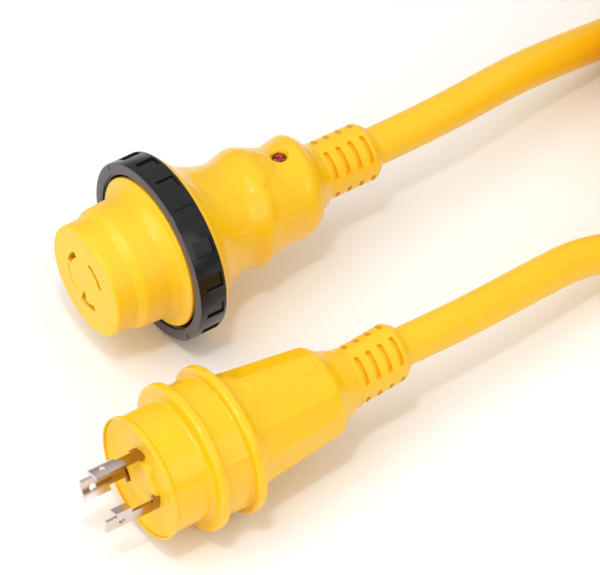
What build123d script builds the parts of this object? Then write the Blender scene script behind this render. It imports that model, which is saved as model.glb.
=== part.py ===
from build123d import *
import math
import os

# Shore power cord set: a locking connector and a locking plug on one three-core cable.
# Both connectors lie along X with their faces toward -X, and the cable leaves toward +X.
# Millimetres, +Z up, the supporting surface at Z = 0. "s" is the distance behind a front face.

# ---- driving dimensions: cable
CABLE_D = 17.3
TURN_GAP = 0.1            # air between neighbouring turns of the coil
STRAP_T = 1.2
STRAP_W = 32.0

# ---- driving dimensions: socket connector
NOSE_R = 25.8             # front cylinder of the nose, enters the inlet
NOSE_LEN = 10.6
SHOULDER_R = 27.7         # second, thicker step of the nose
SHOULDER_S = 14.3
FLANGE_R = 34.4           # thin sealing flange
FLANGE_S = 32.2
FLANGE_T = 2.2
NECK_R = 30.9             # neck that the ring turns on
BELL_R = 40.2
BELL_S = 46.0
BELL_RIM_T = 3.2
CONNECTOR_LEN = 118.0     # face to the root of the strain relief
GRIP_R = 25.2

# ---- driving dimensions: locking ring
RING_R = 41.3
RING_LEN = 13.4
RING_S = 32.3
RING_BORE_R = 36.2
RING_LIP_T = 3.5
RING_RUN = 0.08           # running clearance between the ring's lip and the neck
GRIP_RECESSES = 16
GRIP_RECESS_DEPTH = 0.9
GRIP_RECESS_LEN = 9.0

# ---- driving dimensions: plug
BARREL_R = 27.0
RIM_R = 28.3
RIM_T = 2.2
PLUG_FLANGE_R = 34.05
PLUG_FLANGE_T = 4.4
FRONT_FLANGE_S = 20.6
REAR_FLANGE_S = 38.8
PLUG_GROOVE_R = 29.8
PLUG_LEN = 104.8
PLUG_GRIP_R = 25.3        # thick end of the tapered grip
PLUG_SHOULDER_R = 20.6    # thin end
FACE_RECESS = 3.0
FACE_WALL = 2.6
PLATFORM_S = 0.8          # front of the raised centre
PLATFORM_R = 11.0
BLADE_REACH = 21.0        # line blade tips ahead of the rim
GROUND_LEAD = 2.4         # the ground blade makes first, so it reaches this much further
BLADE_T = 1.6
BLADE_WIDTHS = {"hot": 7.6, "neutral": 10.0, "ground": 8.8}
BLADE_HOLE_R = 1.7
BLADE_HOLE_S = 16.0       # hole ahead of the rim
BLADE_HEAD = 12.5         # length of a blade's full-width head
BLADE_NOTCH = 2.4         # depth of the locking step behind each blade's head
LEG_START = 5.0           # folded leg of the ground blade, behind its tip
LEG_H = 4.4
LEG_SLOT_ARC = 15.0

# ---- driving dimensions: the pole pattern that the two ends share
POLE_R = 12.5             # middle of each blade and each contact slot from the axis
LINE_SPREAD = 100.0       # angle between hot and neutral; ground is opposite their middle
CONNECTOR_ROLL = 80.0     # middle between hot and neutral, from +Y toward +Z
PLUG_ROLL = 25.0
SLOT_PLAY = 9.0           # degrees that a slot is longer than its blade

# ---- driving dimensions: strain relief, the same on both ends
RELIEF_WALL = 4.45
RELIEF_LEN = 27.3
RELIEF_TIP_WALL = 1.75
RELIEF_SLOTS = 4
RELIEF_SLOT_W = 2.2
RELIEF_SLOT_PITCH = 6.1
RELIEF_SLOT_FIRST = 2.6
RELIEF_SLOT_ARC = 68.0
RELIEF_SLOT_DEPTH = 2.4

# ---- driving dimensions: placing of the two ends on the surface
AXIS_GAP = 102.5          # between the two axes, along Y
LEAD = 39.0               # connector face ahead of the plug rim, along X

# ---- driving dimensions: inside
FIT = 0.05                # between pieces that seat in each other
SLOT_W = 2.4
CONTACT_T = 0.9
CORE_R = 2.6              # insulated core of the cable
CORE_GAP = 0.6            # cores stop this far short of the jacket's cut end
CRIMP_R = 3.5
CRIMP_LEN = 9.0
CRIMP_TAB_T = 1.1
LENS_R = 2.75
LENS_RECESS_R = 3.6
LENS_RECESS = 1.6         # depth of the recess round the lens
LENS_FROM_ROOT = 19.0     # lens axis ahead of the strain relief's root
LAMP_GAP = 1.4            # lamp above the jacket
LAMP_H = 4.0
JACKET_IN_CONNECTOR = 26.0
JACKET_IN_PLUG = 26.8
CONTACT_TAIL = 6.0        # contact tail behind the carrier
BLADE_TAIL = 6.0
CORE_ROOM_R = 17.0        # inside radius of both bodies round the crimps

# Angles about the axis, from +Y toward +Z. The connector's pattern mirrors the plug's.
CONTACT_ANGLES = {
    "hot": CONNECTOR_ROLL - LINE_SPREAD / 2,
    "neutral": CONNECTOR_ROLL + LINE_SPREAD / 2,
    "ground": CONNECTOR_ROLL + 180,
}
BLADE_ANGLES = {
    "hot": PLUG_ROLL + LINE_SPREAD / 2,
    "neutral": PLUG_ROLL - LINE_SPREAD / 2,
    "ground": PLUG_ROLL + 180,
}

cable_r = CABLE_D / 2
relief_r = cable_r + RELIEF_WALL
relief_tip_r = cable_r + RELIEF_TIP_WALL
longest_reach = BLADE_REACH + GROUND_LEAD
connector_x = (longest_reach - CONNECTOR_LEN + LEAD) / 2
plug_x = connector_x - LEAD
connector_y = (AXIS_GAP + PLUG_FLANGE_R - RING_R) / 2
plug_y = connector_y - AXIS_GAP
connector_z = RING_R
plug_z = PLUG_FLANGE_R
AT_CONNECTOR = Pos(connector_x, connector_y, connector_z)
AT_PLUG = Pos(plug_x, plug_y, plug_z)

# Where each carrier ends, where the single cores are crimped and where the jacket starts.
CARRIER_BACK_S = 52.0
PLUG_CARRIER_BACK_S = 20.0
CORE_SPREAD_R = 8.6       # cores at the crimps
CORE_LAY_R = 4.1          # cores where they leave the jacket
connector_crimp_s = CARRIER_BACK_S + CONTACT_TAIL
plug_crimp_s = PLUG_CARRIER_BACK_S + BLADE_TAIL
connector_jacket_s = CONNECTOR_LEN - JACKET_IN_CONNECTOR
plug_jacket_s = PLUG_LEN - JACKET_IN_PLUG
lens_s = CONNECTOR_LEN - LENS_FROM_ROOT
lamp_z = cable_r + LAMP_GAP

os.makedirs("parts", exist_ok=True)


def turned(outline):
    """A solid of revolution about X from an outline drawn as (s, radius) edges."""
    return revolve(make_face(outline), Axis.X)


def polygon(*points):
    """The closed outline through (s, radius) points."""
    return Polyline(*points, close=True)


def tube(outer, inner, s0, s1):
    """A plain ring about X from s0 to s1."""
    return turned(polygon((s0, inner), (s1, inner), (s1, outer), (s0, outer)))


def rod(s0, s1, r, radius=0.0, angle=0.0, end_radius=None, bore=0.0):
    """A round bar between two stations, each given by its distance from the axis."""
    a = math.radians(angle)
    end = radius if end_radius is None else end_radius
    start = Vector(s0, radius * math.cos(a), radius * math.sin(a))
    stop = Vector(s1, end * math.cos(a), end * math.sin(a))
    section = Circle(r) - Circle(bore) if bore else Circle(r)
    return extrude(Plane(start, z_dir=stop - start) * section, (stop - start).length)


def arc_bar(s0, s1, radius, thickness, arc, angle):
    """A bar with a curved section that hugs a circle about X; arc is in degrees."""
    inner = radius - thickness / 2
    outer = radius + thickness / 2
    first = angle - arc / 2
    low = CenterArc((0, 0), inner, first, arc)
    high = CenterArc((0, 0), outer, first, arc)
    sides = [Line(low @ 0, high @ 0), Line(low @ 1, high @ 1)]
    face = make_face([low, high, *sides])
    return extrude(Plane((s0, 0, 0), x_dir=(0, 1, 0), z_dir=(1, 0, 0)) * face, s1 - s0)


def save(shape, name):
    export_step(shape, f"parts/{name}.step")


# ---- socket connector


def blade_arc(pole):
    """The angle that a pole's blade covers."""
    return math.degrees(BLADE_WIDTHS[pole] / POLE_R)


def make_connector_face():
    """The contact carrier: stepped nose, sealing flange, neck and three curved slots."""
    flare_s = FLANGE_S - 6.0
    neck_s = FLANGE_S + FLANGE_T
    nose = turned(
        [
            Line((0, 0), (0, NOSE_R - 1.6)),
            ThreePointArc((0, NOSE_R - 1.6), (0.47, NOSE_R - 0.47), (1.6, NOSE_R)),
            Line((1.6, NOSE_R), (NOSE_LEN, NOSE_R)),
            Line((NOSE_LEN, NOSE_R), (SHOULDER_S, SHOULDER_R)),
            Line((SHOULDER_S, SHOULDER_R), (flare_s, SHOULDER_R + 0.6)),
            TangentArc((flare_s, SHOULDER_R + 0.6), (FLANGE_S, FLANGE_R), tangent=(1, 0.04)),
            Line((FLANGE_S, FLANGE_R), (neck_s, FLANGE_R)),
            Line((neck_s, FLANGE_R), (neck_s, NECK_R)),
            Line((neck_s, NECK_R), (CARRIER_BACK_S, NECK_R)),
            Line((CARRIER_BACK_S, NECK_R), (CARRIER_BACK_S, 0)),
            Line((CARRIER_BACK_S, 0), (0, 0)),
        ]
    )
    for pole, angle in CONTACT_ANGLES.items():
        slot_arc = blade_arc(pole) + SLOT_PLAY
        nose -= arc_bar(-1, 8, POLE_R, SLOT_W, slot_arc, angle)
        nose -= arc_bar(8, 34, POLE_R, SLOT_W + 2 * CONTACT_T + 2 * FIT, slot_arc + 6, angle)
        nose -= arc_bar(34, CARRIER_BACK_S + 1, POLE_R, 2 * CONTACT_T + 2 * FIT, 28, angle)
        if pole == "ground":
            leg_angle = angle + (slot_arc - LEG_SLOT_ARC) / 2
            nose -= arc_bar(-1, 8, POLE_R - SLOT_W, SLOT_W + 2.4, LEG_SLOT_ARC, leg_angle)
    return nose


def make_contact(pole):
    """Two spring leaves joined at the back, with a tail that reaches the crimp."""
    angle = CONTACT_ANGLES[pole]
    slot_arc = blade_arc(pole) + SLOT_PLAY
    outer = arc_bar(8.3, 33.7, POLE_R, SLOT_W + 2 * CONTACT_T, slot_arc + 4, angle)
    gap = arc_bar(8, 31, POLE_R, SLOT_W, slot_arc + 8, angle)
    tail = arc_bar(33, connector_crimp_s, POLE_R, 2 * CONTACT_T, 24, angle)
    return outer - gap + tail


def make_connector_body():
    """Overmoulded bell and grip, hollow where the carrier, cores and indicator sit."""
    bell_back = BELL_S + BELL_RIM_T
    reach = CONNECTOR_LEN - BELL_S
    waist_r = GRIP_R - 3.0
    waves = [
        (0.14, (BELL_R + 2 * GRIP_R) / 3 + 0.2),
        (0.28, GRIP_R),
        (0.37, GRIP_R - 0.6),
        (0.445, GRIP_R + 0.3),
        (0.555, GRIP_R - 0.4),
        (0.63, GRIP_R - 1.8),
        (0.715, waist_r),
        (0.80, waist_r + 0.3),
        (0.875, GRIP_R - 4.2),
        (0.945, (waist_r + relief_r) / 2),
        (1.0, relief_r),
    ]
    outline = [(BELL_S + share * reach, r) for share, r in waves]
    body = turned(
        [
            Line((BELL_S, 0), (BELL_S, BELL_R)),
            Line((BELL_S, BELL_R), (bell_back, BELL_R)),
            Spline((bell_back, BELL_R), *outline, tangents=((0.35, -1.0), (0.5, -1.0))),
            Line((CONNECTOR_LEN, relief_r), (CONNECTOR_LEN, 0)),
            Line((CONNECTOR_LEN, 0), (BELL_S, 0)),
        ]
    )
    body -= tube(NECK_R + FIT, 0, BELL_S - 1, CARRIER_BACK_S + FIT)
    narrow_s = CARRIER_BACK_S + 0.55 * (connector_jacket_s - CARRIER_BACK_S)
    room = [
        (CARRIER_BACK_S, 0),
        (CARRIER_BACK_S, CORE_ROOM_R),
        (narrow_s, CORE_ROOM_R),
        (connector_jacket_s, cable_r + 1),
        (connector_jacket_s, 0),
    ]
    body -= turned(polygon(*room))
    body -= rod(connector_jacket_s - 1, CONNECTOR_LEN + 1, cable_r)
    # A slot above the jacket for the lamp, its resistor and its leads.
    lamp_top = lamp_z + LAMP_H + 2
    slot_len = LENS_FROM_ROOT + 6
    slot_z = (cable_r + lamp_top) / 2
    body -= Pos(lens_s + 3.5 - slot_len / 2, 0, slot_z) * Box(slot_len, 6.4, lamp_top - cable_r + 0.4)
    upright = (Align.CENTER, Align.CENTER, Align.MIN)
    body -= Pos(lens_s, 0, lamp_top) * Cylinder(LENS_R + FIT, GRIP_R, align=upright)
    body -= Pos(lens_s, 0, waist_r - LENS_RECESS) * Cylinder(LENS_RECESS_R, GRIP_R, align=upright)
    return body


def make_locking_ring():
    """Threaded ring: plain bore, a rear lip that turns on the neck, recesses for the fingers."""
    back_s = RING_S + RING_LEN
    lip_s = back_s - RING_LIP_T
    ring = tube(RING_R, RING_BORE_R, RING_S, lip_s) + tube(RING_R, NECK_R + RING_RUN, lip_s, back_s)
    rims = ring.edges().filter_by(GeomType.CIRCLE).filter_by(lambda e: abs(e.radius - RING_R) < 0.01)
    ends = rims.filter_by(lambda e: abs(e.center().X - RING_S) < 0.01 or abs(e.center().X - back_s) < 0.01)
    ring = chamfer(ends, 0.8)
    pitch = 360 / GRIP_RECESSES
    middle = RING_S + RING_LEN / 2
    half = GRIP_RECESS_LEN / 2
    for i in range(GRIP_RECESSES):
        angle = (i + 0.5) * pitch
        ring -= arc_bar(middle - half, middle + half, RING_R, 2 * GRIP_RECESS_DEPTH, pitch * 0.55, angle)
    return ring


def make_lens():
    """Red lens with a low dome; it stands on the lamp and ends just inside the grip's surface."""
    low = lamp_z + LAMP_H + FIT
    high = GRIP_R - 3.0 - 0.9
    lens = Pos(lens_s, 0, (low + high) / 2) * Cylinder(LENS_R, high - low)
    top = lens.edges().filter_by(GeomType.CIRCLE).sort_by(Axis.Z)[-1]
    return chamfer(top, 0.9)


def make_led():
    """The lamp: a small cylinder with a flange at its foot."""
    upright = (Align.CENTER, Align.CENTER, Align.MIN)
    foot = Pos(lens_s, 0, lamp_z) * Cylinder(2.4, 1.0, align=upright)
    return foot + Pos(lens_s, 0, lamp_z) * Cylinder(2.0, LAMP_H, align=upright)


def make_resistor():
    return rod(lens_s - 15.0, lens_s - 8.0, 1.3, lamp_z + 2.5, 90.0)


def make_leads():
    """Three thin wires: resistor to lamp, cores to resistor, and the return."""
    lead_r = 0.35
    lamp_side = lens_s - 2.4
    wires = rod(lens_s - 8.0, lamp_side, lead_r, lamp_z + 2.5, 90.0, lamp_z + 0.6)
    wires += rod(lens_s - 20.0, lens_s - 15.0, lead_r, lamp_z + 2.5, 90.0)
    wires += Pos(0, 2.0, 0) * rod(lens_s - 20.0, lamp_side, lead_r, lamp_z + 0.6, 90.0)
    return wires


def make_relief():
    """Flexible sleeve with rows of slots round it; its root is at s = 0."""
    taper_s = RELIEF_LEN - 4.0
    sleeve = turned(
        [
            Line((0, cable_r), (0, relief_r)),
            Line((0, relief_r), (taper_s, relief_r)),
            ThreePointArc(
                (taper_s, relief_r),
                (taper_s + 2.6, relief_r - 0.33 * (relief_r - relief_tip_r)),
                (RELIEF_LEN, relief_tip_r),
            ),
            Line((RELIEF_LEN, relief_tip_r), (RELIEF_LEN, cable_r)),
            Line((RELIEF_LEN, cable_r), (0, cable_r)),
        ]
    )
    for row in range(RELIEF_SLOTS):
        middle = RELIEF_SLOT_FIRST + row * RELIEF_SLOT_PITCH
        for quarter in range(4):
            sleeve -= arc_bar(
                middle - RELIEF_SLOT_W / 2,
                middle + RELIEF_SLOT_W / 2,
                relief_r,
                2 * RELIEF_SLOT_DEPTH,
                RELIEF_SLOT_ARC,
                130.0 + 90.0 * quarter,
            )
    return sleeve


# ---- plug


def make_plug_body():
    """Overmoulded barrel with two flanges and a tapered grip, hollow for carrier and cores."""
    front_back = FRONT_FLANGE_S + PLUG_FLANGE_T
    rear_back = REAR_FLANGE_S + PLUG_FLANGE_T
    reach = PLUG_LEN - rear_back
    root_s = rear_back + 0.18 * reach
    bend_s = rear_back + 0.29 * reach
    shoulder_s = rear_back + 0.785 * reach
    neck_s = rear_back + 0.874 * reach
    neck_r = relief_r + 0.33 * (PLUG_SHOULDER_R - relief_r)
    body = turned(
        [
            Line((0, 0), (0, RIM_R)),
            Line((0, RIM_R), (RIM_T, RIM_R)),
            Line((RIM_T, RIM_R), (RIM_T + 0.8, BARREL_R)),
            Line((RIM_T + 0.8, BARREL_R), (FRONT_FLANGE_S, BARREL_R)),
            Line((FRONT_FLANGE_S, BARREL_R), (FRONT_FLANGE_S, PLUG_FLANGE_R)),
            Line((FRONT_FLANGE_S, PLUG_FLANGE_R), (front_back, PLUG_FLANGE_R)),
            Line((front_back, PLUG_FLANGE_R), (front_back, PLUG_GROOVE_R)),
            Line((front_back, PLUG_GROOVE_R), (REAR_FLANGE_S, PLUG_GROOVE_R)),
            Line((REAR_FLANGE_S, PLUG_GROOVE_R), (REAR_FLANGE_S, PLUG_FLANGE_R)),
            Line((REAR_FLANGE_S, PLUG_FLANGE_R), (rear_back, PLUG_FLANGE_R)),
            Line((rear_back, PLUG_FLANGE_R), (rear_back, PLUG_GRIP_R + 2.7)),
            Line((rear_back, PLUG_GRIP_R + 2.7), (root_s, PLUG_GRIP_R)),
            Line((root_s, PLUG_GRIP_R), (bend_s, PLUG_GRIP_R - 1.4)),
            Line((bend_s, PLUG_GRIP_R - 1.4), (shoulder_s, PLUG_SHOULDER_R)),
            ThreePointArc((shoulder_s, PLUG_SHOULDER_R), (neck_s, neck_r), (PLUG_LEN, relief_r)),
            Line((PLUG_LEN, relief_r), (PLUG_LEN, 0)),
            Line((PLUG_LEN, 0), (0, 0)),
        ]
    )
    edges = body.edges().filter_by(GeomType.CIRCLE).filter_by(lambda e: abs(e.radius - PLUG_FLANGE_R) < 0.01)
    body = fillet(edges, PLUG_FLANGE_T * 0.4)
    body -= tube(BARREL_R - FACE_WALL, 0, -1, PLUG_CARRIER_BACK_S + FIT)
    narrow_s = PLUG_CARRIER_BACK_S + 0.48 * (plug_jacket_s - PLUG_CARRIER_BACK_S)
    room = [
        (PLUG_CARRIER_BACK_S, 0),
        (PLUG_CARRIER_BACK_S, CORE_ROOM_R),
        (narrow_s, CORE_ROOM_R),
        (plug_jacket_s, cable_r + 1),
        (plug_jacket_s, 0),
    ]
    body -= turned(polygon(*room))
    body -= rod(plug_jacket_s - 1, PLUG_LEN + 1, cable_r)
    return body


def make_plug_face():
    """Blade carrier, set back inside the rim, with a raised centre."""
    outer = BARREL_R - FACE_WALL - FIT
    face = tube(outer, 0, FACE_RECESS, PLUG_CARRIER_BACK_S)
    platform = Plane((PLATFORM_S, 0, 0), x_dir=(0, 1, 0), z_dir=(1, 0, 0)) * RegularPolygon(PLATFORM_R, 6)
    face += extrude(platform, FACE_RECESS)
    for pole, angle in BLADE_ANGLES.items():
        slot_arc = blade_arc(pole) + 1
        face -= arc_bar(-1, PLUG_CARRIER_BACK_S + 1, POLE_R, BLADE_T + 2 * FIT, slot_arc, angle)
    return face


def make_blade(pole):
    """A curved blade: a head with a hole, a locking step behind it and a narrower neck."""
    angle = BLADE_ANGLES[pole]
    arc = blade_arc(pole)
    reach = longest_reach if pole == "ground" else BLADE_REACH
    blade = arc_bar(-reach, PLUG_CARRIER_BACK_S, POLE_R, BLADE_T, arc, angle)
    step_arc = math.degrees(BLADE_NOTCH / POLE_R)
    first_edge = angle - arc / 2
    blade -= arc_bar(BLADE_HEAD - reach, -0.5, POLE_R, 3 * BLADE_T, 2 * step_arc, first_edge)
    blade -= blade_hole(angle)
    tail = arc_bar(PLUG_CARRIER_BACK_S - 1, plug_crimp_s, POLE_R, BLADE_T, arc / 2, angle)
    if pole == "ground":
        leg_arc = math.degrees(BLADE_T / POLE_R)
        leg_angle = first_edge + leg_arc / 2
        blade += arc_bar(LEG_START - reach, BLADE_HEAD - reach, POLE_R - LEG_H / 2, LEG_H, leg_arc, leg_angle)
        blade -= arc_bar(-reach - 1, LEG_START - reach, POLE_R, 3 * BLADE_T, 2 * leg_arc, first_edge)
    return blade + tail


def blade_hole(angle):
    """The radial hole through a blade's head."""
    a = math.radians(angle)
    outward = Vector(0, math.cos(a), math.sin(a))
    start = Vector(-BLADE_HOLE_S, 0, 0) + outward * (POLE_R - 4)
    return extrude(Plane(start, z_dir=outward) * Circle(BLADE_HOLE_R), 8)


# ---- cores and crimps


def core_radius(s, crimp_s, jacket_s):
    """Distance of a core from the axis, on its straight way from the crimp to the jacket."""
    share = (s - crimp_s) / (jacket_s - CORE_GAP - crimp_s)
    return CORE_SPREAD_R + (CORE_LAY_R - CORE_SPREAD_R) * share


def make_core(crimp_s, jacket_s, angle):
    """One insulated core, from its crimp to just short of the jacket's end."""
    first = crimp_s + CRIMP_TAB_T + 0.6
    last = jacket_s - CORE_GAP
    first_radius = core_radius(first, crimp_s, jacket_s)
    return rod(first, last, CORE_R, first_radius, angle, CORE_LAY_R)


def make_crimps(crimp_s, jacket_s, angles):
    """Three crimp barrels, each with a tab that its contact tail is riveted to."""
    barrels = []
    first = crimp_s + CRIMP_TAB_T / 2
    last = first + CRIMP_LEN
    first_radius, last_radius = (core_radius(s, crimp_s, jacket_s) for s in (first, last))
    for angle in angles:
        a = math.radians(angle)
        barrel = rod(first, last, CRIMP_R, first_radius, angle, last_radius, bore=CORE_R + FIT)
        reach = POLE_R + 1.0
        plate = Plane((crimp_s, 0, 0), x_dir=(0, math.cos(a), math.sin(a)), z_dir=(1, 0, 0))
        tab = extrude(plate * Pos((reach + 5.6) / 2, 0) * Rectangle(reach - 5.6, 4.0), CRIMP_TAB_T)
        barrels.append(barrel + tab)
    return Compound(children=barrels)


# ---- cable

coil_pitch = CABLE_D + TURN_GAP
COIL_COLUMNS = 3
COIL_LAYERS = 4
COIL_INNER_R = 79.6       # centreline of the innermost turn
COIL_X = 340.0
COIL_Y = -30.0
coil_outer_r = COIL_INNER_R + (COIL_COLUMNS - 1) * coil_pitch

# Route of each cable end, from inside its body to the coil. The first two points of each
# lie on the connector's axis; the rest are chosen by hand.
CONNECTOR_ROUTE = [
    (connector_x + connector_jacket_s, connector_y, connector_z),
    (connector_x + CONNECTOR_LEN + 24, connector_y, connector_z),
    (159, 49.5, 38.6),
    (199, 56.0, 32.6),
    (236, 60.6, 22.6),
    (268, 66.0, 12.2),
    (296, 75.5, 9.6),
]
PLUG_ROUTE = [
    (plug_x + plug_jacket_s, plug_y, plug_z),
    (plug_x + PLUG_LEN + 14, plug_y + 1.2, plug_z + 0.3),
    (96, -50.6, 34.0),
    (138, -45.6, 29.6),
    (172, -46.2, 21.6),
    (203, -54.8, 14.0),
    (230, -71.5, 9.8),
    (251, -95.5, 9.6),
]


def corner_radii(points):
    """The largest tangent arc that both runs at each corner leave room for."""
    radii = []
    for before, here, after in zip(points, points[1:], points[2:]):
        run_in = Vector(*here) - Vector(*before)
        run_out = Vector(*after) - Vector(*here)
        turn = math.radians(run_in.get_angle(run_out))
        radii.append(0.45 * min(run_in.length, run_out.length) / math.tan(turn / 2))
    return radii


def make_cable(points, name):
    """Round cable along straight runs joined by tangent arcs."""
    radii = corner_radii(points)
    path = FilletPolyline(*points, radius=radii)
    start = Plane(path @ 0, z_dir=path % 0)
    cable = sweep(start * Circle(cable_r), path)
    expected = math.pi * cable_r**2 * path.length
    print(name, "radii", [round(r) for r in radii], "length", round(path.length, 1),
          "volume ratio", round(cable.volume / expected, 4))
    return cable


def coil_section(edge):
    """The coil's cross-section, grown by "edge" all round, where the coil crosses its own XZ plane."""
    width = COIL_COLUMNS * coil_pitch + 2 * edge
    height = COIL_LAYERS * coil_pitch + 2 * edge
    middle = ((COIL_INNER_R + coil_outer_r) / 2, 0, STRAP_T + COIL_LAYERS * coil_pitch / 2)
    corner = coil_pitch * 0.42 + edge
    return Plane(middle, x_dir=(1, 0, 0), z_dir=(0, -1, 0)) * RectangleRounded(width, height, corner)


def make_coil():
    """The outer shape of the wound cable."""
    return Pos(COIL_X, COIL_Y, 0) * revolve(coil_section(0), Axis.Z)


def make_straps():
    """Two straps round the coil, on opposite sides of it."""
    arc = math.degrees(STRAP_W / (COIL_INNER_R + coil_pitch))
    band = revolve(coil_section(STRAP_T) - coil_section(0), Axis.Z, revolution_arc=arc)
    at_coil = Pos(COIL_X, COIL_Y, 0)
    return Compound(children=[at_coil * Rot(0, 0, middle - arc / 2) * band for middle in (90, 270)])


# ---- build every piece

save(AT_CONNECTOR * make_connector_body(), "connector_body")
save(AT_CONNECTOR * make_connector_face(), "connector_face")
save(AT_CONNECTOR * make_locking_ring(), "locking_ring")
save(AT_CONNECTOR * make_lens(), "indicator_lens")
save(AT_CONNECTOR * make_led(), "indicator_led")
save(AT_CONNECTOR * make_resistor(), "indicator_resistor")
save(AT_CONNECTOR * make_leads(), "indicator_leads")
for pole, angle in CONTACT_ANGLES.items():
    save(AT_CONNECTOR * make_contact(pole), f"connector_contact_{pole}")
    save(AT_CONNECTOR * make_core(connector_crimp_s, connector_jacket_s, angle), f"connector_wire_{pole}")
crimps = make_crimps(connector_crimp_s, connector_jacket_s, CONTACT_ANGLES.values())
save(AT_CONNECTOR * crimps, "connector_crimps")
save(AT_CONNECTOR * Pos(CONNECTOR_LEN, 0, 0) * make_relief(), "connector_strain_relief")

save(AT_PLUG * make_plug_body(), "plug_body")
save(AT_PLUG * make_plug_face(), "plug_face")
for pole, angle in BLADE_ANGLES.items():
    save(AT_PLUG * make_blade(pole), f"plug_blade_{pole}")
    save(AT_PLUG * make_core(plug_crimp_s, plug_jacket_s, angle), f"plug_wire_{pole}")
save(AT_PLUG * make_crimps(plug_crimp_s, plug_jacket_s, BLADE_ANGLES.values()), "plug_crimps")
save(AT_PLUG * Pos(PLUG_LEN, 0, 0) * make_relief(), "plug_strain_relief")

save(make_cable(CONNECTOR_ROUTE, "connector_cable"), "connector_cable")
save(make_cable(PLUG_ROUTE, "plug_cable"), "plug_cable")
save(make_coil(), "cable_coil")
save(make_straps(), "coil_straps")
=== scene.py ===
import math

import bmesh
import bpy
from mathutils import Matrix, Vector


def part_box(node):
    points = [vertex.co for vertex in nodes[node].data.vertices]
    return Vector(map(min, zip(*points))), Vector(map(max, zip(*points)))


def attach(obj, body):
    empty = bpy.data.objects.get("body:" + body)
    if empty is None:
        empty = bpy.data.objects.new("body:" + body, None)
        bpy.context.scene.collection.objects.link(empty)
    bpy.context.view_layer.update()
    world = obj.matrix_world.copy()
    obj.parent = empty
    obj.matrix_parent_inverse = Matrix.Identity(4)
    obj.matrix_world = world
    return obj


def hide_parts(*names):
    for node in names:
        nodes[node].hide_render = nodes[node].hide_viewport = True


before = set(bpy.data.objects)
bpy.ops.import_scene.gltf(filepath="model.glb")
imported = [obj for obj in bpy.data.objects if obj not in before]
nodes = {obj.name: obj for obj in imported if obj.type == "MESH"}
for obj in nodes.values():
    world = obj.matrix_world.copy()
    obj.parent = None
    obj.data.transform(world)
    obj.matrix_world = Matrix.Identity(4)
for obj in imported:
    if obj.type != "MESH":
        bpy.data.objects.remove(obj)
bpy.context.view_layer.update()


# ---- Cable
# One length of round three-core cable with an extruded yellow vinyl jacket. It runs from the
# back of the socket connector to the back of the plug, and what isn't in use is wound into a
# round coil, three turns wide and four high.

MM = 0.001
CABLE_D = 17.3
COIL_CENTRE = Vector((340.0, -30.0, 0.0))
COIL_INNER_R = 79.6
COIL_LOW = 9.9
TURN_PITCH = 17.4

# Layer and column of each turn, in winding order. The cable leaves beside where it came in.
TURN_CELLS = [
    (0, 2), (0, 1), (0, 0), (1, 0), (2, 0), (3, 0),
    (3, 1), (3, 2), (2, 2), (2, 1), (1, 1), (1, 2),
]
MIDDLE_COLUMN = 1

# The control points of a turn: their spacing, how many lie before and after the far side, how
# much of the move to the next turn each one makes, and how far a turn that climbs swings aside.
POINT_STEP = math.radians(30)
HALF_TURN = 6
FIRST_HALF = 4
LAST_HALF = 5
MOVE_PER_POINT = 0.4
TURN_SWELL = 4.0

connector_route = [
    (64.2, 47.63, 41.3),
    (114.2, 47.3, 40.7),
    (159, 49.3, 38.4),
    (199, 57.0, 32.8),
    (236, 63.2, 22.9),
    (268, 69.0, 12.4),
]
plug_route = [
    (11.2, -54.88, 34.05),
    (58.0, -53.5, 36.0),
    (96, -52.3, 33.1),
    (138, -47.0, 28.9),
    (172, -41.2, 22.5),
    (203, -51.8, 14.0),
    (230, -71.5, 9.8),
]


def coil_points():
    """Every turn, clockwise from above, with the move to the next turn on the far side."""
    points = []
    outside_arc = 1 / math.cos(POINT_STEP / 2)
    for turn, cell in enumerate(TURN_CELLS):
        following = TURN_CELLS[(turn + 1) % len(TURN_CELLS)]
        before = FIRST_HALF if turn == 0 else HALF_TURN
        after = LAST_HALF if turn == len(TURN_CELLS) - 1 else HALF_TURN
        for i in range(before + after):
            step = before - 0.5 - i
            moved = min(max(0.5 - MOVE_PER_POINT * step, 0.0), 1.0)
            layer, column = (a + (b - a) * moved for a, b in zip(cell, following))
            climbs = abs(step) < 1 and cell[1] == following[1]
            swell = TURN_SWELL * (column - MIDDLE_COLUMN) if climbs else 0.0
            radius = (COIL_INNER_R + TURN_PITCH * column + swell) * outside_arc
            angle = step * POINT_STEP
            points.append(COIL_CENTRE + Vector((
                radius * math.cos(angle),
                radius * math.sin(angle),
                COIL_LOW + TURN_PITCH * layer,
            )))
    return points


route = connector_route + coil_points() + plug_route[::-1]
curve = bpy.data.curves.new("power_cable", "CURVE")
curve.dimensions = "3D"
curve.bevel_depth = CABLE_D / 2 * MM
curve.bevel_resolution = 12
curve.resolution_u = 5
curve.use_fill_caps = True
spline = curve.splines.new("NURBS")
spline.points.add(len(route) - 1)
for point, place in zip(spline.points, route):
    point.co = (*(Vector(place) * MM), 1.0)
spline.order_u = 3
spline.use_endpoint_u = True
cable = bpy.data.objects.new("power_cable", curve)
bpy.context.collection.objects.link(cable)


class Value:
    """A shader socket. Arithmetic on it adds Math nodes to its material."""

    def __init__(self, finish, socket):
        self.finish = finish
        self.socket = socket

    def math(self, operation, *terms):
        return self.finish.node("ShaderNodeMath", {"operation": operation}, dict(enumerate(terms)))

    def __add__(self, other):
        return self.math("ADD", self, other)

    def __sub__(self, other):
        return self.math("SUBTRACT", self, other)

    def __rsub__(self, other):
        return self.math("SUBTRACT", other, self)

    def __mul__(self, other):
        return self.math("MULTIPLY", self, other)

    def __gt__(self, other):
        return self.math("GREATER_THAN", self, other)

    def sine(self):
        return self.math("SINE", self)

    __radd__ = __add__
    __rmul__ = __mul__


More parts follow.
